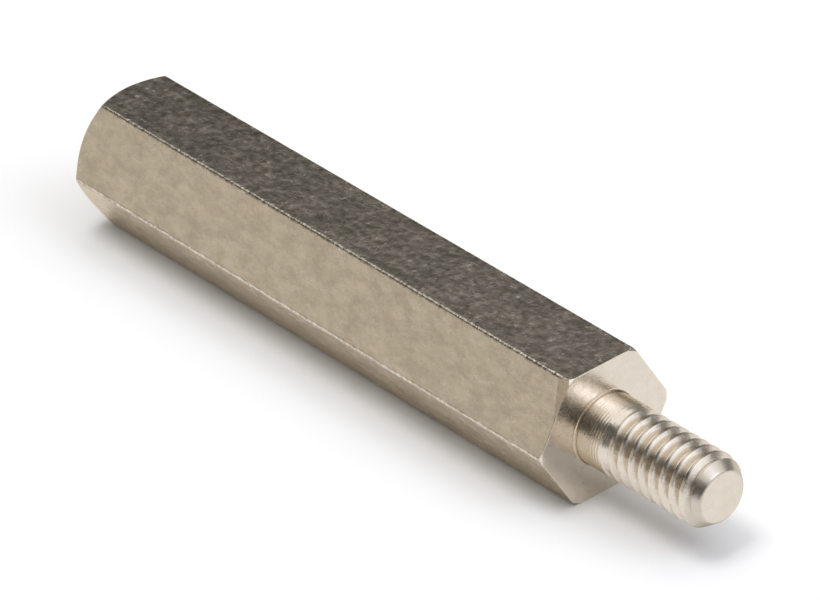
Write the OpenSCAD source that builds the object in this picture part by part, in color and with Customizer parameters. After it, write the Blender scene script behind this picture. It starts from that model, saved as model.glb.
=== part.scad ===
// Male-female hex standoff, turned in one piece from drawn hexagon bar.
// It lies on one flat of the hexagon, with its axis along X and its threaded stud towards +X.
// The origin is on the surface it lies on, under the middle of its overall length.

/* [Hexagon bar] */
// Width across the flats
across_flats = 4.5; // [3.8:0.05:5.5]
// Radius along the six long corners of the drawn bar
corner_radius = 0.12; // [0.05:0.01:0.3]
// Length of the hexagonal body between its two end faces
body_length = 23; // [14:0.5:50]

/* [Female end] */
// Diameter of the flat ring that the turned chamfer leaves on the female end
end_ring_diameter = 4.23; // [3.5:0.01:4.4]
// Slope of that chamfer, measured from the end face
end_chamfer_angle = 42; // [20:1:55]
// Diameter of the countersink at the mouth of the tapped hole
countersink_diameter = 2.8; // [2.6:0.05:3.4]
// Included angle of that countersink
countersink_angle = 90; // [60:1:120]
// Diameter of the tapping drill
tap_drill_diameter = 2.05; // [1.5:0.01:2.4]
// Depth of full bore, from the end face to the start of the drill point
bore_depth = 8; // [4:0.25:12]
// Included angle of the drill point at the bottom of the bore
drill_point_angle = 118; // [90:1:140]

/* [Shoulder] */
// Diameter at which the light break of the six corners starts on the shoulder face
shoulder_break_diameter = 4.95; // [4.6:0.01:5]
// Slope of that break, measured from the shoulder face
shoulder_break_angle = 42; // [20:1:60]

/* [Threaded stud] */
// Length of the stud from the shoulder face to its tip
stud_length = 5.2; // [3.5:0.1:12]
// Outside diameter over the thread crests, which is also that of the plain neck below the thread
stud_diameter = 2.4; // [2.3:0.01:3.2]
// Length from the shoulder face to the first full groove of the thread
neck_length = 1.48; // [0.6:0.02:2.5]
// Distance from one thread crest to the next
thread_pitch = 0.45; // [0.4:0.05:0.7]
// Depth of the thread from crest to root
thread_depth = 0.225; // [0.1:0.005:0.3]
// Width of each crest along the stud
thread_crest_width = 0.08; // [0.03:0.01:0.12]
// Included angle of the groove between two crests
thread_angle = 60; // [50:1:65]
// Radius of the fillet in the corner between the neck and the shoulder face
neck_fillet_radius = 0.15; // [0.05:0.01:0.3]
// Diameter of the flat face on the stud's tip
tip_diameter = 1.7; // [1:0.05:2.2]
// Length of the lead-in cone behind the tip
tip_cone_length = 0.5; // [0.3:0.05:0.9]

/* [Hidden] */
$fn = 96;

nickel = [0.74, 0.67, 0.57];
// Straight steps in each rounded corner of the bar and in the quarter round of the fillet
arc_steps = 6;
// How far a cutter or the turned envelope runs past the stock
overrun = 1;

// The corner radii are centred on a smaller hexagon inside the bar
corner_centre_radius = (across_flats / 2 - corner_radius) / cos(30);
bar_radius = corner_centre_radius + corner_radius;
overall_length = body_length + stud_length;

hex_standoff();

// The finished part, laid on a flat
module hex_standoff() {
    color(nickel)
        translate([-overall_length / 2, 0, across_flats / 2])
            rotate([0, 90, 0])
                difference() {
                    intersection() {
                        hexagon_bar();
                        turned_envelope();
                    }
                    thread_grooves();
                    tapped_bore();
                }
}

// A length of drawn bar, flats facing X, with a small radius along each corner
module hexagon_bar() {
    linear_extrude(overall_length)
        polygon([
            for (corner = [0 : 5], step = [0 : arc_steps])
                let (centre_turn = 60 * corner + 30, turn = 60 * (corner + step / arc_steps))
                    corner_centre_radius * [cos(centre_turn), sin(centre_turn)]
                    + corner_radius * [cos(turn), sin(turn)]
        ]);
}

// What the lathe leaves, as radius against distance from the female end: the two cones on the
// hexagon cross its flats in arcs, and the stud is turned down out of the same bar
module turned_envelope() {
    clear_radius = bar_radius + overrun;
    end_cone_length = (clear_radius - end_ring_diameter / 2) * tan(end_chamfer_angle);
    break_cone_length = (clear_radius - shoulder_break_diameter / 2) * tan(shoulder_break_angle);
    rotate_extrude()
        polygon(concat(
            [
                [0, 0],
                [end_ring_diameter / 2, 0],
                [clear_radius, end_cone_length],
                [clear_radius, body_length - break_cone_length],
                [shoulder_break_diameter / 2, body_length]
            ],
            [for (point = stud_outline()) point + [0, body_length]]
        ));
}

// Fillet, stud and lead-in cone, measured from the shoulder face
function stud_outline() =
    let (
        stud_radius = stud_diameter / 2,
        fillet_centre = [stud_radius + neck_fillet_radius, neck_fillet_radius]
    )
    concat(
        [for (step = [0 : arc_steps])
            fillet_centre - neck_fillet_radius * [sin(90 * step / arc_steps), cos(90 * step / arc_steps)]],
        [
            [stud_radius, stud_length - tip_cone_length],
            [tip_diameter / 2, stud_length],
            [0, stud_length]
        ]
    );

// Ring grooves with the thread's true section, one to a pitch, which stand in for its helix. The last
// of them runs into the lead-in cone
module thread_grooves() {
    stud_radius = stud_diameter / 2;
    flank_slope = tan(thread_angle / 2);
    half_width = (thread_pitch - thread_crest_width) / 2;
    root_half_width = half_width - thread_depth * flank_slope;
    groove_count = floor((stud_length - neck_length) / thread_pitch);
    for (groove = [0 : groove_count - 1])
        translate([0, 0, body_length + neck_length + half_width + groove * thread_pitch])
            rotate_extrude()
                polygon([
                    [stud_radius - thread_depth, -root_half_width],
                    [stud_radius + overrun, -half_width - overrun * flank_slope],
                    [stud_radius + overrun, half_width + overrun * flank_slope],
                    [stud_radius - thread_depth, root_half_width]
                ]);
}

// Countersink, tapping drill and drill point, cut from the female end face
module tapped_bore() {
    bore_radius = tap_drill_diameter / 2;
    countersink_slope = tan(countersink_angle / 2);
    countersink_depth = (countersink_diameter / 2 - bore_radius) / countersink_slope;
    rotate_extrude()
        polygon([
            [0, -overrun],
            [countersink_diameter / 2 + overrun * countersink_slope, -overrun],
            [bore_radius, countersink_depth],
            [bore_radius, bore_depth],
            [0, bore_depth + bore_radius / tan(drill_point_angle / 2)]
        ]);
}
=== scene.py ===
# %% [markdown]
# # A male-female hex standoff
# A standoff of this kind holds a circuit board away from its case. It is turned in one piece
# from drawn hexagon bar: one end is drilled and tapped, and the other is turned down to a stud
# and threaded with a die. Then it is nickel plated.
# This lesson builds it in that same order, with Blender's own tools, and then gives it its finish.
# The part lies along X, with its stud towards +X. The work is done in millimetres about its own axis,
# because tools such as Merge by Distance expect sizes near one. The last step of the modelling lays the
# part down and makes it metres.

import math

import bpy
from mathutils import Matrix, Vector


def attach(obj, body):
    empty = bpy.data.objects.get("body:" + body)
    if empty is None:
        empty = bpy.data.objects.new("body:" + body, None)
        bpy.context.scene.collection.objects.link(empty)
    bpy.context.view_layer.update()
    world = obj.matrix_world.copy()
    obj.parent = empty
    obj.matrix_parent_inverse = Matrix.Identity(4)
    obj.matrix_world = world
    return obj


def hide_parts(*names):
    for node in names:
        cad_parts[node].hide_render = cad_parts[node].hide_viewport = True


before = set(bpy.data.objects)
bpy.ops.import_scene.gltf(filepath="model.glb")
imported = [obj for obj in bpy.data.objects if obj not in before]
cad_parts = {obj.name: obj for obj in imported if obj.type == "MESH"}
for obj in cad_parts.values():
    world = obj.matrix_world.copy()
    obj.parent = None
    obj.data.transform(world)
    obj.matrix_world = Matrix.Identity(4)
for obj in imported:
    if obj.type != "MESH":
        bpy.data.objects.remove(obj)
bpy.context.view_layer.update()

# %% Main sizes, in millimetres
ACROSS_FLATS = 4.5
BODY_LENGTH = 23.0
STUD_LENGTH = 5.2

AXIS_HEIGHT = ACROSS_FLATS / 2
FEMALE_X = -(BODY_LENGTH + STUD_LENGTH) / 2
SHOULDER_X = FEMALE_X + BODY_LENGTH
TIP_X = -FEMALE_X
print("female end at x", FEMALE_X, "shoulder at", round(SHOULDER_X, 3), "tip at", TIP_X)

# %% [markdown]
# ## Picking in code
# By hand, one would click on a ring of vertices and then extrude or scale it. Here a short test
# on each vertex's place does the clicking. An operator acts on everything that is selected, so each
# helper first deselects everything. Two places that are nearer than NEAR count as one.

# %% Switch modes and pick by place
NEAR = 1e-4


def only(piece):
    bpy.ops.object.select_all(action="DESELECT")
    bpy.context.view_layer.objects.active = piece
    piece.select_set(True)


def edit(kind="VERT"):
    bpy.ops.object.mode_set(mode="EDIT")
    bpy.ops.mesh.select_mode(type=kind)


def leave_edit():
    bpy.ops.object.mode_set(mode="OBJECT")


def from_axis(place):
    return math.hypot(place.y, place.z)


def pick_vertices(piece, test):
    only(piece)
    edit()
    bpy.ops.mesh.select_all(action="DESELECT")
    leave_edit()
    for vertex in piece.data.vertices:
        vertex.select = test(vertex.co)
    edit()


def pick_edges(piece, test):
    only(piece)
    edit("EDGE")
    bpy.ops.mesh.select_all(action="DESELECT")
    leave_edit()
    for edge in piece.data.edges:
        a, b = (piece.data.vertices[i].co for i in edge.vertices)
        edge.select = test(a, b)
    edit("EDGE")


# %% Clean a mesh and say how large it is
def clean(piece, distance=NEAR):
    only(piece)
    edit()
    bpy.ops.mesh.select_all(action="SELECT")
    bpy.ops.mesh.remove_doubles(threshold=distance)
    bpy.ops.mesh.normals_make_consistent(inside=False)
    leave_edit()


def tell(piece):
    sizes = [round(s, 3) for s in piece.dimensions]
    counts = f"{len(piece.data.vertices)} vertices, {len(piece.data.polygons)} faces"
    print(f"{piece.name}: {counts}, {sizes} mm")


# %% [markdown]
# ## The drawn bar
# Hexagon bar is pulled through a die, so its flats are straight and its six long corners have a small
# radius. A six-sided cylinder with bevelled edges would do. Drawing the outline first is chosen, because
# its points can be set before there is any length: a six-sided circle gets its corners bevelled, and
# its flats are subdivided, since the lathe's cones will cross them in arcs and an arc needs points
# to follow. The bar is made a little too long at both ends, like stock that is still to be faced.

# %% Draw the outline
CORNER_RADIUS = 0.12
CORNER_STEPS = 6
FLAT_CUTS = 23
STOCK = 0.4
LONGEST_CORNER_EDGE = 1.0

bpy.ops.mesh.primitive_circle_add(
    vertices=6,
    radius=AXIS_HEIGHT / math.cos(math.radians(30)),
    location=(FEMALE_X - STOCK, 0, 0),
    rotation=(0, math.pi / 2, 0),
)
body = bpy.context.object
body.name = "hex_body"
bpy.ops.object.transform_apply(location=True, rotation=True, scale=True)
edit()
bpy.ops.mesh.select_all(action="SELECT")
bpy.ops.mesh.bevel(
    offset=CORNER_RADIUS * math.tan(math.radians(30)),
    segments=CORNER_STEPS,
    profile=0.5,
    affect="VERTICES",
)
leave_edit()
pick_edges(body, lambda a, b: (a - b).length > LONGEST_CORNER_EDGE)
bpy.ops.mesh.subdivide(number_cuts=FLAT_CUTS)
leave_edit()
tell(body)

# %% Extrude the bar
edit()
bpy.ops.mesh.select_all(action="SELECT")
bpy.ops.mesh.extrude_region_move(TRANSFORM_OT_translate={"value": (BODY_LENGTH + 2 * STOCK, 0, 0)})
leave_edit()
tell(body)

# %% [markdown]
# ## Facing and chamfering the ends
# On the lathe the bar spins, so whatever the tool leaves is round about the axis. That shape is drawn as
# a profile, point by point, and spun into a closed form. The ends of the bar are then pressed onto it
# along X by a Shrinkwrap modifier. A Boolean would cut the same arcs, but would leave tiny edges that
# spoil the softening which follows.

# %% Draw a profile and turn it
def draw_profile(name, points):
    """points are (distance along the axis, distance from the axis)"""
    # A tiny plane, merged into one vertex, makes the first point
    bpy.ops.object.select_all(action="DESELECT")
    bpy.ops.mesh.primitive_plane_add(size=0.01, location=(points[0][0], 0, points[0][1]))
    profile = bpy.context.object
    profile.name = name
    bpy.ops.object.transform_apply(location=True)
    edit()
    bpy.ops.mesh.select_all(action="SELECT")
    bpy.ops.mesh.merge(type="CENTER")
    for (x0, r0), (x1, r1) in zip(points, points[1:]):
        bpy.ops.mesh.extrude_region_move(TRANSFORM_OT_translate={"value": (x1 - x0, 0, r1 - r0)})
    leave_edit()
    return profile


def turn(profile, steps):
    only(profile)
    edit()
    bpy.ops.mesh.select_all(action="SELECT")
    bpy.ops.mesh.spin(steps=steps, angle=2 * math.pi, center=(0, 0, 0), axis=(1, 0, 0))
    leave_edit()
    clean(profile)


# %% Turn the form that the two ends are pressed onto
END_RING_RADIUS = 2.115
SHOULDER_BREAK_RADIUS = 2.475
TURNED_SLOPE = math.tan(math.radians(42))
CLEAR = 3.6
LATHE_STEPS = 720

lathe_form = draw_profile(
    "lathe_form",
    [
        (FEMALE_X, 0),
        (FEMALE_X, END_RING_RADIUS),
        (FEMALE_X + (CLEAR - END_RING_RADIUS) * TURNED_SLOPE, CLEAR),
        (SHOULDER_X - (CLEAR - SHOULDER_BREAK_RADIUS) * TURNED_SLOPE, CLEAR),
        (SHOULDER_X, SHOULDER_BREAK_RADIUS),
        (SHOULDER_X, 0),
    ],
)
turn(lathe_form, LATHE_STEPS)
tell(lathe_form)

# %% Press both ends of the bar onto the turned form
for end, x, towards_plus in (("female", FEMALE_X - STOCK, True), ("shoulder", SHOULDER_X + STOCK, False)):
    group = body.vertex_groups.new(name=end)
    group.add([v.index for v in body.data.vertices if abs(v.co.x - x) < 10 * NEAR], 1, "ADD")
    only(body)
    bpy.ops.object.modifier_add(type="SHRINKWRAP")
    press = body.modifiers[-1]
    press.target = lathe_form
    press.wrap_method = "PROJECT"
    press.use_project_x = True
    press.use_project_y = False
    press.use_project_z = False
    press.use_positive_direction = towards_plus
    press.use_negative_direction = not towards_plus
    press.vertex_group = end
    bpy.ops.object.modifier_apply(modifier=press.name)
bpy.data.objects.remove(lathe_form)
tell(body)

# %% [markdown]
# ## Rings
# From here on, every form is a ring: pick the last one, extrude it, move it along the axis and scale it.
# To Sphere makes the first ring on each end truly round. On the shoulder only the six corners reach
# past the light break that the tool leaves there, so only they are rounded, and the rest of that ring
# falls together with the outline and is merged with it.

# %% Pick, round and follow a ring
def ring_at(x, nearest=0.0, furthest=math.inf):
    return lambda c: abs(c.x - x) < NEAR and nearest - NEAR < from_axis(c) < furthest + NEAR


def make_round(piece, x, radius):
    bpy.ops.transform.tosphere(value=1)
    leave_edit()
    radii = [from_axis(v.co) for v in piece.data.vertices if v.select]
    edit()
    grow = radius * len(radii) / sum(radii)
    bpy.ops.transform.resize(value=(1, grow, grow), center_override=(x, 0, 0))


def ring_in_plane(piece, test, x, radius=None):
    pick_vertices(piece, test)
    bpy.ops.mesh.extrude_region_move()
    bpy.ops.transform.resize(value=(0, 1, 1), center_override=(x, 0, 0))
    if radius:
        make_round(piece, x, radius)
    leave_edit()


def follow(piece, points):
    """extrudes the picked ring through (distance along the axis, distance from it)"""
    for (x0, r0), (x1, r1) in zip(points, points[1:]):
        grow = r1 / r0
        bpy.ops.mesh.extrude_region_move(TRANSFORM_OT_translate={"value": (x1 - x0, 0, 0)})
        bpy.ops.transform.resize(value=(1, grow, grow), center_override=(x1, 0, 0))
    leave_edit()


# %% Make the ring of each end
END_ZONE = 1.0

ring_in_plane(body, lambda c: c.x < FEMALE_X + END_ZONE, FEMALE_X, END_RING_RADIUS)
ring_in_plane(body, lambda c: c.x > SHOULDER_X - END_ZONE, SHOULDER_X)
pick_vertices(body, ring_at(SHOULDER_X, SHOULDER_BREAK_RADIUS + 2 * NEAR))
make_round(body, SHOULDER_X, SHOULDER_BREAK_RADIUS)
leave_edit()
clean(body)
tell(body)

# %% [markdown]
# ## Drilled end
# The tap drill leaves a blind hole with a cone at the bottom, and a countersink at the mouth keeps the
# tap from raising a burr. A solid in the drill's shape could be subtracted, but the end face already ends
# in a ring, so that ring is extruded inwards through the hole's points, which leaves a cleaner mesh. The
# last, tiny ring is merged into one vertex.

# %% Drill the bore
COUNTERSINK_RADIUS = 1.4
DRILL_RADIUS = 1.025
DRILL_HALF_ANGLE = math.radians(59)
BORE_DEPTH = 8.0
LAST_RING_RADIUS = 0.01

pick_vertices(body, ring_at(FEMALE_X, furthest=END_RING_RADIUS))
mouth_end = FEMALE_X + COUNTERSINK_RADIUS - DRILL_RADIUS
bore_end = FEMALE_X + BORE_DEPTH
drill_point = bore_end + DRILL_RADIUS / math.tan(DRILL_HALF_ANGLE)
follow(
    body,
    [
        (FEMALE_X, END_RING_RADIUS),
        (FEMALE_X, COUNTERSINK_RADIUS),
        (mouth_end, DRILL_RADIUS),
        (bore_end, DRILL_RADIUS),
        (drill_point, LAST_RING_RADIUS),
    ],
)
edit()
bpy.ops.mesh.merge(type="CENTER")
leave_edit()
print("bore from", round(mouth_end, 3), "to", round(bore_end, 3), "drill point at", round(drill_point, 3))

# %% [markdown]
# ## Neck
# The stud is turned down from the bar, and the nose of the tool leaves a very small fillet where it meets
# the shoulder. The die stops about a millimetre short, so a plain neck is left. The die's first teeth
# are cut away at a slant, so the last groove gets shallower and runs out. A cone inside the neck gives
# the grooves that rising floor. Like the bore, all of this is one ring that is extruded onwards.

# %% Work out the fillet
STUD_RADIUS = 1.2
NECK_FILLET = 0.08
FILLET_STEPS = 6

fillet = []
for step in range(FILLET_STEPS + 1):
    sweep = math.radians(90 * step / FILLET_STEPS)
    fillet.append(
        (
            SHOULDER_X + NECK_FILLET * (1 - math.cos(sweep)),
            STUD_RADIUS + NECK_FILLET * (1 - math.sin(sweep)),
        )
    )
print("the fillet leaves the shoulder", round(fillet[0][1], 3), "mm from the axis")

# %% Turn the neck and the cone under the last groove
NECK_LENGTH = 1.02
RUN_OUT_LENGTH = 0.75
THREAD_CORE = 0.9

neck_end = SHOULDER_X + NECK_LENGTH
ring_in_plane(body, ring_at(SHOULDER_X), SHOULDER_X, fillet[0][1])
clean(body)
pick_vertices(body, ring_at(SHOULDER_X, furthest=fillet[0][1]))
follow(body, fillet + [(neck_end, STUD_RADIUS), (neck_end + RUN_OUT_LENGTH, THREAD_CORE)])
edit()
bpy.ops.mesh.edge_face_add()
leave_edit()
clean(body)
tell(body)

# %% [markdown]
# ## Soft edges
# No edge on a turned and plated part is a true knife edge, and the thin bright line along an edge comes
# from its small radius. A Bevel modifier with an angle limit would soften everything alike, also the
# bar's corners, which are round already. So the arcs, the end ring and the outline of the shoulder are
# picked by where they lie, and each gets its own width.

# %% Tests that find the edges
OUTLINE_RADIUS = 2.2
PAST_FACE = 0.05
ARC_DRIFT = 0.1
SHOULDER_ZONE = 0.2
SHOULDER_DRIFT = 0.03
SHORT_EDGE = 0.12


def on_arcs(a, b):
    """the arcs that the female end's cone cuts into the flats"""
    low, high = FEMALE_X + PAST_FACE, FEMALE_X + END_ZONE
    near = all(low < c.x < high and from_axis(c) > OUTLINE_RADIUS for c in (a, b))
    return near and abs(a.x - b.x) < ARC_DRIFT


def on_ring(x, radius):
    return lambda *ends: all(abs(c.x - x) < NEAR and abs(from_axis(c) - radius) < 10 * NEAR for c in ends)


def on_shoulder(a, b):
    """the outline of the shoulder: short edges that hardly move along the axis"""
    near = all(c.x > SHOULDER_X - SHOULDER_ZONE and from_axis(c) > OUTLINE_RADIUS for c in (a, b))
    return near and (a - b).length < SHORT_EDGE and abs(a.x - b.x) < SHOULDER_DRIFT


# %% Bevel the turned edges
ARC_WIDTH = 0.03
END_RING_WIDTH = 0.02
MOUTH_WIDTH = 0.015
BORE_WIDTH = 0.01
SHOULDER_WIDTH = 0.028


def soften(piece, test, width, steps=3):
    pick_edges(piece, test)
    bpy.ops.mesh.bevel(offset=width, segments=steps, profile=0.5, affect="EDGES", clamp_overlap=False)
    leave_edit()


soften(body, on_arcs, ARC_WIDTH)
soften(body, on_ring(FEMALE_X, END_RING_RADIUS), END_RING_WIDTH, 2)
soften(body, on_ring(FEMALE_X, COUNTERSINK_RADIUS), MOUTH_WIDTH, 2)
soften(body, on_ring(mouth_end, DRILL_RADIUS), BORE_WIDTH, 1)
soften(body, on_shoulder, SHOULDER_WIDTH, 3)
tell(body)

# %% [markdown]
# ## A bruised corner
# One corner of the shoulder has been struck, which left a small flat facet there. It could be pushed in
# by hand, but a blow from something hard leaves a plane. So a bisecting plane through three points
# shaves off that sliver, and Fill closes the cut.

# %% Shave the bruised corner
# On the long corner, low on the shoulder's outline, and just inside the shoulder's corner
BRUISE = (
    Vector((SHOULDER_X - 0.49, -1.299, 2.25)),
    Vector((SHOULDER_X, -2.0, 1.035)),
    Vector((SHOULDER_X, -1.247, 2.22)),
)
bruise_way = (BRUISE[1] - BRUISE[0]).cross(BRUISE[2] - BRUISE[0])


def cut_off(piece, place, outwards):
    """cuts away what lies beyond the plane, on the side that outwards points to"""
    only(piece)
    edit()
    bpy.ops.mesh.select_all(action="SELECT")
    bpy.ops.mesh.bisect(plane_co=place, plane_no=outwards, use_fill=True, clear_outer=True)
    leave_edit()


cut_off(body, BRUISE[0], bruise_way)
clean(body)
tell(body)

# %% [markdown]
# ## Threads
# A thread is one tooth repeated at the pitch and swept round the axis while it moves forwards by one
# pitch. It could be faked with a bump, but it shows in the outline of the stud, so it is made. The tooth
# is drawn once, an Array repeats it, and the Screw modifier makes a single turn, whose end meets the
# start of the next tooth. Turning from +Y to +Z while moving towards +X gives a right-hand thread, like
# nearly every thread there is.
# Both ends are cut square and filled, which makes the rod a closed solid for the Booleans.

# %% Make a threaded rod
PITCH = 0.45


def threaded_rod(name, tooth, first_crest, start, end, steps):
    """tooth is (distance from the crest's middle, distance from the axis), over one pitch"""
    count = math.ceil((end - first_crest) / PITCH) + 1
    rod = draw_profile(name, [(first_crest + x, r) for x, r in tooth])
    only(rod)
    bpy.ops.object.modifier_add(type="ARRAY")
    repeat = rod.modifiers[-1]
    repeat.count = count
    repeat.use_relative_offset = False
    repeat.use_constant_offset = True
    repeat.constant_offset_displace = (PITCH, 0, 0)
    repeat.use_merge_vertices = True
    repeat.merge_threshold = NEAR
    bpy.ops.object.modifier_apply(modifier=repeat.name)
    bpy.ops.object.modifier_add(type="SCREW")
    sweep = rod.modifiers[-1]
    sweep.axis = "X"
    sweep.angle = 2 * math.pi
    sweep.screw_offset = PITCH
    sweep.steps = sweep.render_steps = steps
    sweep.use_merge_vertices = True
    sweep.merge_threshold = NEAR
    bpy.ops.object.modifier_apply(modifier=sweep.name)
    clean(rod)
    cut_off(rod, (start, 0, 0), (-1, 0, 0))
    cut_off(rod, (end, 0, 0), (1, 0, 0))
    clean(rod)
    tell(rod)
    return rod


# %% Combine two solids
def combine(piece, tool, how):
    only(piece)
    bpy.ops.object.modifier_add(type="BOOLEAN")
    step = piece.modifiers[-1]
    step.object = tool
    step.operation = how
    step.solver = "EXACT"
    bpy.ops.object.modifier_apply(modifier=step.name)
    bpy.data.objects.remove(tool)


# %% [markdown]
# ### The stud's thread
# The crests are rounded where the die rubbed them, and the roots are round as well, because a die's own
# crests wear. The crests are 3 micrometres lower than the neck, so that the neck's wall covers
# them where the two are joined. The tip is turned before threading: a lead-in cone and a rounded rim
# round a face that is very slightly domed. The rod is intersected with that turned form.

# %% Make the rod for the stud
CREST = STUD_RADIUS - 0.003
# From one rounded crest down to the rounded root and up to the next crest
STUD_TOOTH = (
    (0.040, CREST),
    (0.055, CREST - 0.003),
    (0.064, CREST - 0.012),
    (0.180, 0.985),
    (0.193, 0.978),
    (0.225, 0.975),
    (0.257, 0.978),
    (0.270, 0.985),
    (0.386, CREST - 0.012),
    (0.395, CREST - 0.003),
    (0.410, CREST),
    (0.490, CREST),
)
STUD_STEPS = 144
STUD_FIRST_CREST = SHOULDER_X + 0.0375
ROD_START = SHOULDER_X + 0.6
PAST_TIP = 0.1

thread = threaded_rod("stud_thread", STUD_TOOTH, STUD_FIRST_CREST, ROD_START, TIP_X + PAST_TIP, STUD_STEPS)

# %% Give the rod its turned tip and join it to the neck
TIP_RADIUS = 0.85
TIP_CONE_LENGTH = 0.5
RIM_LENGTH = 0.075
# The last points of the form, each as (distance back from the tip, distance from the axis)
TIP_RIM = ((0.045, 0.874), (0.022, 0.84), (0.010, 0.795))
TIP_DOME = ((0.006, 0.70), (0.002, 0.45), (0, 0.2), (0, 0))
FORM_START = SHOULDER_X + 0.3
FORM_RADIUS = 1.6

cone_slope = (STUD_RADIUS - TIP_RADIUS) / TIP_CONE_LENGTH
cone = [
    (FORM_START, 0),
    (FORM_START, FORM_RADIUS),
    (TIP_X - TIP_CONE_LENGTH - (FORM_RADIUS - STUD_RADIUS) / cone_slope, FORM_RADIUS),
    (TIP_X - RIM_LENGTH, TIP_RADIUS + RIM_LENGTH * cone_slope),
]
stud_form = draw_profile("stud_form", cone + [(TIP_X - back, r) for back, r in TIP_RIM + TIP_DOME])
turn(stud_form, STUD_STEPS)
combine(thread, stud_form, "INTERSECT")
combine(body, thread, "UNION")
tell(body)

# %% [markdown]
# ### The tapped hole
# The tap is made the same way as a rod a little larger than the screw, with a tapered lead, and is
# subtracted. It stops short of the drill point, as a tap must in a blind hole.

# %% Make the tap
TAP_RADIUS = 1.26
TAP_ROOT = 0.980
TAP_DEPTH = 6.3
TAP_STEPS = 72
TAP_TOOTH = (
    (0.028, TAP_RADIUS),
    (0.190, TAP_ROOT),
    (0.260, TAP_ROOT),
    (0.422, TAP_RADIUS),
    (0.478, TAP_RADIUS),
)
TAP_FIRST_CREST = FEMALE_X - 1.2
TAP_START = FEMALE_X - 0.3

tap = threaded_rod("tap", TAP_TOOTH, TAP_FIRST_CREST, TAP_START, FEMALE_X + TAP_DEPTH, TAP_STEPS)

# %% Taper the tap's lead and tap the bore
TAP_LEAD = 1.4
TAP_FORM_RADIUS = 1.5
TAP_NOSE_RADIUS = 0.9
BEFORE_TAP = 0.5
PAST_TAP = 0.1

tap_form = draw_profile(
    "tap_form",
    [
        (FEMALE_X - BEFORE_TAP, 0),
        (FEMALE_X - BEFORE_TAP, TAP_FORM_RADIUS),
        (FEMALE_X + TAP_DEPTH - TAP_LEAD, TAP_FORM_RADIUS),
        (FEMALE_X + TAP_DEPTH + PAST_TAP, TAP_NOSE_RADIUS),
        (FEMALE_X + TAP_DEPTH + PAST_TAP, 0),
    ],
)
turn(tap_form, TAP_STEPS)
combine(tap, tap_form, "INTERSECT")
combine(body, tap, "DIFFERENCE")
tell(body)

# %% [markdown]
# ## Lay the part down
# Shade Smooth would bend the light across the flats, and Shade Flat would show every step of the turned
# faces. So only shallow angles are smoothed, and the Weighted Normal modifier lets the large flats keep
# their own direction right up to the small softened edges. The bruise gets a sharp rim by hand, because
# its angle is shallow. Then the part is lifted so that it lies on its lower flat, and is made metres.

# %% Merge and smooth
FINE_MERGE = 2e-5
SMOOTH_ANGLE = math.radians(32)

clean(body, FINE_MERGE)
only(body)
bpy.ops.object.vertex_group_remove(all=True)
bpy.ops.object.shade_smooth_by_angle(angle=SMOOTH_ANGLE, keep_sharp_edges=False)
tell(body)

# %% Give the bruise a sharp rim
SAME_WAY = 0.9999
BRUISE_ZONE = 0.6

edit("FACE")
bpy.ops.mesh.select_all(action="DESELECT")
leave_edit()
bruise_way.normalize()
for face in body.data.polygons:
    face.select = face.normal.dot(bruise_way) > SAME_WAY and face.center.x > SHOULDER_X - BRUISE_ZONE
print("faces in the bruise:", sum(face.select for face in body.data.polygons))
edit("FACE")
bpy.ops.mesh.region_to_loop()
bpy.ops.mesh.mark_sharp()
leave_edit()

# %% Weigh the normals, lift and scale
METRES_PER_MM = 0.001

bpy.ops.object.modifier_add(type="WEIGHTED_NORMAL")
weigh = body.modifiers[-1]
weigh.mode = "FACE_AREA"
weigh.keep_sharp = True
bpy.ops.object.modifier_apply(modifier=weigh.name)
bpy.ops.transform.translate(value=(0, 0, AXIS_HEIGHT))
bpy.ops.object.transform_apply(location=True)
bpy.ops.transform.resize(value=[METRES_PER_MM] * 3, center_override=(0, 0, 0))
bpy.ops.object.transform_apply(scale=True)
print("lies in", [round(size, 5) for size in body.dimensions], "m")

# %% [markdown]
# ## Nickel plate
# Drawn flats and turned faces look different on the real part, yet the same plate covers both. Two
# materials would leave a hard border between their faces. So one material covers the part, and
# masks that are worked out from the place on it tell the surfaces apart. It works in millimetres
# about the part's axis, so that every grain can be given its real size.

# %% A short way to write nodes
tree = None


def start(owner):
    global tree
    owner.use_nodes = True
    tree = owner.node_tree
    tree.nodes.clear()


def plug(value, socket):
    if isinstance(value, bpy.types.NodeSocket):
        tree.links.new(value, socket)
    elif value is not None:
        socket.default_value = value


def node(kind, **settings):
    made = tree.nodes.new("ShaderNode" + kind)
    for name, value in settings.items():
        setattr(made, name, value)
    return made


def tell_nodes(step):
    print(f"{step}: {len(tree.nodes)} nodes so far")


# %% Sums, ramps and mixes
def calc(operation, a, b=None):
    made = node("Math", operation=operation)
    plug(a, made.inputs[0])
    plug(b, made.inputs[1])
    return made.outputs[0]


def total(*terms):
    """the sum of terms that are (value, how much of it)"""
    shares = [calc("MULTIPLY", value, amount) for value, amount in terms]
    result = shares[0]
    for share in shares[1:]:
        result = calc("ADD", result, share)
    return result


def remap(value, low, high, to_low=0.0, to_high=1.0):
    made = node("MapRange", interpolation_type="SMOOTHSTEP")
    for socket, given in zip(made.inputs, (value, low, high, to_low, to_high)):
        plug(given, socket)
    return made.outputs[0]


def vector(operation, a, b=None):
    made = node("VectorMath", operation=operation)
    plug(a, made.inputs[0])
    plug(b, made.inputs[1])
    return made.outputs["Value" if operation in ("DOT_PRODUCT", "LENGTH") else "Vector"]


def mix_colour(factor, a, b):
    made = node("Mix", data_type="RGBA")
    for socket, given in zip((made.inputs[0], made.inputs[6], made.inputs[7]), (factor, a, b)):
        plug(given, socket)
    return made.outputs[2]


def mix_value(factor, a, b):
    made = node("Mix")
    for socket, given in zip((made.inputs[0], made.inputs[2], made.inputs[3]), (factor, a, b)):
        plug(given, socket)
    return made.outputs[0]


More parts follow.
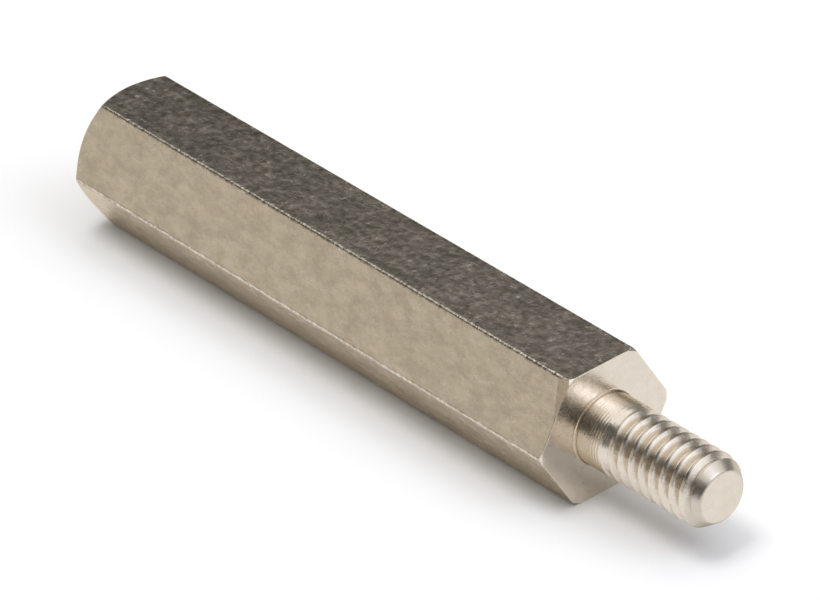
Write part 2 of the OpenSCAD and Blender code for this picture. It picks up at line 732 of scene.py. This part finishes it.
# %% Noise
def noise(where, scale, detail=2.0, roughness=0.5):
    made = node("TexNoise")
    plug(where, made.inputs["Vector"])
    for name, value in (("Scale", scale), ("Detail", detail), ("Roughness", roughness)):
        made.inputs[name].default_value = value
    return made.outputs[0]


# %% Millimetres about the axis
MM_PER_METRE = 1000

finish = bpy.data.materials.new("nickel_plate")
start(finish)
in_mm = node("Mapping")
plug(node("TexCoord").outputs["Object"], in_mm.inputs["Vector"])
in_mm.inputs["Location"].default_value = (0, 0, -AXIS_HEIGHT)
in_mm.inputs["Scale"].default_value = [MM_PER_METRE] * 3
mm = in_mm.outputs[0]
split = node("SeparateXYZ")
plug(mm, split.inputs[0])
along, across, up = split.outputs
radius = calc("SQRT", calc("ADD", calc("MULTIPLY", across, across), calc("MULTIPLY", up, up)))
tell_nodes("place on the part")

# %% [markdown]
# ### Which surface is which
# What lies past the shoulder, on the female end's cone or inside 2 mm of the axis has been turned. All the
# rest is drawn bar, whose flats lie 2.25 mm from the axis and whose round corners reach 2.58 mm.

# %% Masks
past_shoulder = remap(along, SHOULDER_X - 0.01, SHOULDER_X - 0.003)
end_cone = calc("MULTIPLY", calc("SUBTRACT", radius, END_RING_RADIUS), TURNED_SLOPE)
past_cone = calc("SUBTRACT", calc("SUBTRACT", along, FEMALE_X), end_cone)
on_cone = remap(past_cone, 0.02, 0.03, 1, 0)
inside = remap(radius, 2.0, 2.1, 1, 0)
turned = calc("MAXIMUM", calc("MAXIMUM", past_shoulder, on_cone), inside)
drawn = calc("SUBTRACT", 1, turned)
corner = remap(radius, 2.54, 2.563)
tell_nodes("masks")

# %% [markdown]
# ### Drawn flats
# The die draws the bar's skin out lengthwise, and plating levels it only in part. So the flats have a
# fine grain, wider swells, small pits and a few scratches from the bin. Noise makes the first two
# and is stretched along the bar. The pits are cells of a Voronoi texture, made ragged by
# shifting the place that it reads, and only a share of the cells holds one.

# %% Grain and swells
def drawn_out(share):
    """the place with its length shrunk, so that a pattern on it gets longer"""
    return vector("MULTIPLY", mm, (share, 1, 1))


coarse = noise(drawn_out(0.8), 4.5, 3.0, 0.55)
grain = noise(drawn_out(0.55), 11.0, 5.0, 0.65)
broad = noise(drawn_out(0.7), 1.6, 3.0, 0.55)
swell = noise(drawn_out(0.8), 2.6, 3.0, 0.6)
grime = noise(drawn_out(0.6), 2.4, 6.0, 0.7)
nicks = noise(mm, 7.0, 2.0, 0.6)
tell_nodes("grain")


# %% Scratches
def scratches(turn_by, stretch, width, amount):
    """thin lines along the middle level of a stretched noise, kept only in places"""
    lay = node("Mapping")
    plug(mm, lay.inputs["Vector"])
    lay.inputs["Rotation"].default_value = [math.radians(angle) for angle in turn_by]
    lay.inputs["Scale"].default_value = stretch
    level = calc("ABSOLUTE", calc("SUBTRACT", noise(lay.outputs[0], 1.0, 1.0, 0.4), 0.5))
    kept = remap(noise(mm, 1.7, 1.0), 1 - amount, 1.04 - amount)
    return calc("MULTIPLY", remap(level, 0, width, 1, 0), kept)


one_way = scratches((0, 25, 40), (0.8, 3, 3), 0.006, 0.4)
other_way = scratches((0, -20, -35), (0.9, 4, 4), 0.006, 0.35)
lines = calc("MAXIMUM", one_way, other_way)
tell_nodes("scratches")

# %% Pits
ragged = node("TexNoise")
plug(mm, ragged.inputs["Vector"])
ragged.inputs["Scale"].default_value = 9.0
tattered = vector("ADD", mm, vector("MULTIPLY", ragged.outputs["Color"], (0.22, 0.16, 0.16)))


def specks(scale, size, share):
    """one ragged pit in a share of the cells"""
    cells = node("TexVoronoi")
    plug(tattered, cells.inputs["Vector"])
    cells.inputs["Scale"].default_value = scale
    chosen = node("SeparateColor")
    plug(cells.outputs["Color"], chosen.inputs[0])
    kept = remap(chosen.outputs[0], 1 - share, 1.001 - share)
    return calc("MULTIPLY", remap(cells.outputs["Distance"], 0, size, 1, 0), kept)


pits = calc("MAXIMUM", specks(1.9, 0.23, 0.45), specks(3.6, 0.26, 0.3))
tell_nodes("pits")

# %% [markdown]
# ### Turned faces
# The tool leaves rings round the axis, so their noise depends only on the distance along the axis and
# from it. On the neck the feed shows as even ridges, fainter in some places than in others.
# The inner corner at the foot of the neck, the root, is painted darker and warmer as shade, which also
# tones down the bright ring that its fillet mirrors.

# %% Rings left by the tool
RINGS_PER_MM = 14
NECK_FEED = 0.115

rings = node("CombineXYZ")
plug(calc("MULTIPLY", along, RINGS_PER_MM), rings.inputs[0])
plug(calc("MULTIPLY", radius, RINGS_PER_MM), rings.inputs[1])
ring_marks = noise(rings.outputs[0], 1.0, 3.0, 0.6)
blotches = noise(mm, 5.0, 4.0, 0.6)
past_root = calc("SUBTRACT", along, SHOULDER_X)
root = calc("MULTIPLY", remap(past_root, 0.004, 0.02), remap(past_root, 0.08, 0.13, 1, 0))
neck = calc("MULTIPLY", remap(past_root, 0.15, 0.3), remap(past_root, 1.1, 1.4, 1, 0))
feed_marks = calc("SINE", calc("MULTIPLY", along, 2 * math.pi / NECK_FEED))
feed_marks = calc("MULTIPLY", feed_marks, calc("MULTIPLY", neck, remap(blotches, 0.25, 0.75, 0.3, 1)))
tell_nodes("turned faces")

# %% [markdown]
# ### Colour, gloss and relief
# Nickel is a warm grey metal. The edge tint keeps it warm where it is seen at a low angle, which the
# shader would otherwise turn white. Its tone varies between a dull and a bright one, and is darker on the
# lead-in cone. On the bar's corners it is darker in dashes, partly wear at the nicks and partly a painted
# dark line that stands in for the dark reflection along the edge. At the root it is painted darker and
# warmer as shade. Gloss varies as well, since pits and scratches scatter the light. The relief is only
# micrometres deep, so a bump carries it and the mesh stays light.

# %% Colour
EDGE_TINT = (0.92, 0.85, 0.74, 1)
DULL_FLAT, DULL_TURNED = (0.615, 0.55, 0.463, 1), (0.69, 0.622, 0.53, 1)
BRIGHT_FLAT, BRIGHT_TURNED = (0.79, 0.715, 0.612, 1), (0.74, 0.67, 0.575, 1)
# Painted shade: the colour that darkens and warms the inner corner at the root of the neck
ROOT_PAINTED_SHADE = (0.66, 0.58, 0.48, 1)
CONE_TONE = 0.84

shader = node("BsdfPrincipled")
shader.inputs["Metallic"].default_value = 1.0
shader.inputs["Specular Tint"].default_value = EDGE_TINT
output = node("OutputMaterial")
plug(shader.outputs[0], output.inputs["Surface"])
dull = mix_colour(turned, DULL_FLAT, DULL_TURNED)
bright = mix_colour(turned, BRIGHT_FLAT, BRIGHT_TURNED)
plate = mix_colour(remap(grime, 0.3, 0.68), dull, bright)
# The corners are darker in dashes: wear at the nicks, and a painted dark line that stands in for the dark
# reflection along the edge
worn_and_painted_dark_edge = remap(nicks, 0.35, 0.65, 0.6, 1.0)
before_face = remap(along, TIP_X - 0.03, TIP_X - 0.01, 1, 0)
lead_in = calc("MULTIPLY", remap(along, TIP_X - 0.5, TIP_X - 0.4), before_face)
tone = mix_value(calc("MULTIPLY", corner, drawn), 1.0, worn_and_painted_dark_edge)
# Here the root gets its painted shade, darker and warmer
tone = vector("MULTIPLY", tone, mix_colour(root, (1, 1, 1, 1), ROOT_PAINTED_SHADE))
tone = vector("MULTIPLY", tone, mix_value(lead_in, 1.0, CONE_TONE))
plug(vector("MULTIPLY", plate, tone), shader.inputs["Base Color"])
tell_nodes("colour")

# %% Gloss
flat_roughness = total(
    (remap(coarse, 0.2, 0.8, 0.10, 0.26), 1),
    (remap(broad, 0.25, 0.75, 0, 0.07), 1),
    (pits, 0.2),
    (lines, 0.08),
)
turned_roughness = total(
    (remap(blotches, 0.3, 0.7, 0.19, 0.28), 1),
    (remap(along, TIP_X - 0.6, TIP_X - 0.3, 0, 0.08), 1),
    (root, 0.06),
)
plug(mix_value(turned, flat_roughness, turned_roughness), shader.inputs["Roughness"])
tell_nodes("gloss")

# %% Relief
dents = calc("MULTIPLY", calc("SUBTRACT", nicks, 0.5), corner)
flat_height = total(
    (coarse, 0.006),
    (grain, 0.0008),
    (swell, 0.014),
    (pits, -0.0016),
    (lines, -0.0008),
    (dents, 0.016),
)
turned_height = total((ring_marks, 0.002), (blotches, 0.006), (feed_marks, 0.0026))
bump = node("Bump")
bump.inputs["Strength"].default_value = 1.0
bump.inputs["Distance"].default_value = METRES_PER_MM
plug(mix_value(turned, flat_height, turned_height), bump.inputs["Height"])
plug(bump.outputs[0], shader.inputs["Normal"])
tell_nodes("relief")

# %% Give the body its finish and its place in the frame
body.data.materials.clear()
body.data.materials.append(finish)
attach(body, "root")
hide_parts("hex_standoff")
print(body.name, "replaces hex_standoff and has the finish", finish.name)

# %% [markdown]
# ## Floor
# The part lies on a wide sheet of white paper. Lit only by the lamp and the world, the sheet would turn
# grey far away, and if it glowed everywhere the shadow would be lost. So it glows a little near the part,
# where the shadow falls, and fully from 30 cm on. The glow is there only for what the camera, a
# mirror or glass sees, and so it puts no light on the part.

# %% Lay the floor
FLOOR_RADIUS = 3.0
PAPER_WHITE = (0.95, 0.95, 0.95, 1)
FLOOR_GLOW = 0.05
GLOW_FROM, GLOW_TO = 0.08, 0.3

bpy.ops.object.select_all(action="DESELECT")
bpy.ops.mesh.primitive_circle_add(vertices=96, radius=FLOOR_RADIUS, fill_type="NGON", location=(0, 0, 0))
floor = bpy.context.object
floor.name = "floor"
paper = bpy.data.materials.new("white_floor")
floor.data.materials.append(paper)
start(paper)
sheet = node("BsdfDiffuse")
sheet.inputs["Color"].default_value = PAPER_WHITE
ray = node("LightPath")
seen = calc("MAXIMUM", ray.outputs["Is Camera Ray"], ray.outputs["Is Glossy Ray"])
seen = calc("MAXIMUM", seen, ray.outputs["Is Transmission Ray"])
away = vector("LENGTH", node("TexCoord").outputs["Object"])
glow = remap(away, GLOW_FROM, GLOW_TO, FLOOR_GLOW, 1.0)
blend = node("MixShader")
plug(calc("MULTIPLY", seen, glow), blend.inputs[0])
plug(sheet.outputs[0], blend.inputs[1])
plug(node("Emission").outputs[0], blend.inputs[2])
plug(blend.outputs[0], node("OutputMaterial").inputs["Surface"])
tell_nodes("floor")

# %% [markdown]
# ## Studio
# Bright metal shows what stands round it, so the studio is made for its reflections as much as for its
# light. Cards and soft boxes could be built, but then they would need stands and would shade each other.
# Here they are painted on the world as soft round patches, each with a direction in degrees,
# and a later patch covers an earlier one. There is a large light overhead, a smaller one at the right
# with a bright cool core, a warm card low on the left, and a dark side where the camera stands.

# %% A soft patch on the world
world = bpy.data.worlds.new("studio")
bpy.context.scene.world = world
start(world)
way = node("TexCoord").outputs["Generated"]


def towards(azimuth, elevation):
    """the direction at those degrees round the vertical and above the floor"""
    azimuth, elevation = math.radians(azimuth), math.radians(elevation)
    return (
        math.cos(elevation) * math.cos(azimuth),
        math.cos(elevation) * math.sin(azimuth),
        math.sin(elevation),
    )


def patch(azimuth, elevation, inner, outer):
    """1 within inner degrees of that direction, and 0 beyond outer"""
    aligned = vector("DOT_PRODUCT", way, towards(azimuth, elevation))
    return remap(aligned, math.cos(math.radians(outer)), math.cos(math.radians(inner)))


# %% Paint the studio
SURROUNDINGS = (0.24, 0.232, 0.22, 1)
NEUTRAL = (1, 0.99, 0.97)
WARM = (1, 0.88, 0.74)
CREAM = (1, 0.925, 0.795)
COOL = (0.97, 1.0, 1.07)
BLUE = (0.93, 1.0, 1.25)

# Each row is azimuth, elevation, inner, outer, strength and tint
PATCHES = (
    # The back, which the upper flat mirrors, with a darker spot that brings out its relief
    (141, 33, 12, 34, 0.38, NEUTRAL),
    (146, 24, 0, 21, 0.07, NEUTRAL),
    # A dark gap high on the left
    (-140, 30, 12, 26, 0.09, NEUTRAL),
    # A low grey wall and a pale patch above it, behind on the right
    (105, -5, 20, 42, 0.26, NEUTRAL),
    (68, 48, 10, 24, 0.95, NEUTRAL),
    # The warm card low on the left, which the front flat mirrors
    (-115, 15, 8, 20, 0.46, WARM),
    (-138, 3, 13, 24, 0.60, CREAM),
    # The light overhead
    (0, 90, 39, 46, 1.2, NEUTRAL),
    # The dark side where the camera stands
    (-47, 9, 18, 44, 0.08, NEUTRAL),
    (-88, 46, 12, 28, 0.10, NEUTRAL),
    # The light at the right and its core, which the neck mirrors
    (22, 35, 21, 34, 1.35, COOL),
    (17, 46, 8, 17, 2.9, BLUE),
)

colour = SURROUNDINGS
for azimuth, elevation, inner, outer, strength, tint in PATCHES:
    shade = [strength * part for part in tint] + [1]
    colour = mix_colour(patch(azimuth, elevation, inner, outer), colour, shade)
light = node("Background")
plug(colour, light.inputs["Color"])
plug(light.outputs[0], node("OutputWorld").inputs["Surface"])
print("patches painted:", len(PATCHES))

# %% [markdown]
# ## Lamp
# A soft round lamp high above, a little to the near left, lights the floor and gives the part its
# shadow. The metal would mirror it as a hard spot, so it is hidden from glossy rays.

# %% Hang the lamp
LAMP_AZIMUTH, LAMP_ELEVATION = -95, 74
LAMP_DISTANCE = 1.0
LAMP_SIZE = 0.42
LAMP_POWER = 3.3

lamp_place = [LAMP_DISTANCE * part for part in towards(LAMP_AZIMUTH, LAMP_ELEVATION)]
bpy.ops.object.light_add(type="AREA", location=lamp_place)
lamp = bpy.context.object
lamp.name = "soft_lamp"
lamp.rotation_euler = lamp.location.to_track_quat("Z", "Y").to_euler()
lamp.data.shape = "DISK"
lamp.data.size = LAMP_SIZE
lamp.data.energy = LAMP_POWER
lamp.visible_glossy = False
print("lamp at", [round(c, 3) for c in lamp.location], "m,", lamp.data.energy, "W")

# %% [markdown]
# ## Camera
# The camera stands well away and has a long lens, which keeps the edges of a small part nearly parallel.
# It could be aimed by eye. Here its direction, its distance and the pixel in which the middle of the
# shoulder shows are given, and its place follows from them.

# %% Set the camera
PICTURE_WIDTH, PICTURE_HEIGHT = 820, 600
SENSOR_WIDTH = 36
VIEW_AZIMUTH, VIEW_ELEVATION, VIEW_ROLL = -38.218, 32.702, -3.754
# The distance is given in widths of the bar, and the focal length in pixels
VIEW_DISTANCE = 42.962 * ACROSS_FLATS / MM_PER_METRE
FOCAL_PIXELS = 6460.97
SHOULDER_PIXEL = (604.958, 427.31)

forwards = -Vector(towards(VIEW_AZIMUTH, VIEW_ELEVATION))
level = forwards.cross(Vector((0, 0, 1))).normalized()
upright = level.cross(forwards)
roll = math.radians(VIEW_ROLL)
right = math.cos(roll) * level + math.sin(roll) * upright
top = math.cos(roll) * upright - math.sin(roll) * level
aside = (SHOULDER_PIXEL[0] - PICTURE_WIDTH / 2) / FOCAL_PIXELS
above = (PICTURE_HEIGHT / 2 - SHOULDER_PIXEL[1]) / FOCAL_PIXELS
shoulder = Vector((SHOULDER_X, 0, AXIS_HEIGHT)) / MM_PER_METRE
stand = shoulder - VIEW_DISTANCE * (forwards + aside * right + above * top)
bpy.ops.object.camera_add()
camera = bpy.context.object
camera.matrix_world = Matrix.Translation(stand) @ Matrix((right, top, -forwards)).transposed().to_4x4()
camera.data.sensor_width = SENSOR_WIDTH
camera.data.lens = FOCAL_PIXELS / PICTURE_WIDTH * SENSOR_WIDTH
camera.data.clip_start = 0.01
camera.data.clip_end = 20
bpy.context.scene.camera = camera
bpy.context.scene.view_settings.view_transform = "Standard"
print("camera at", [round(c, 4) for c in stand], "m, lens", round(camera.data.lens, 1), "mm")
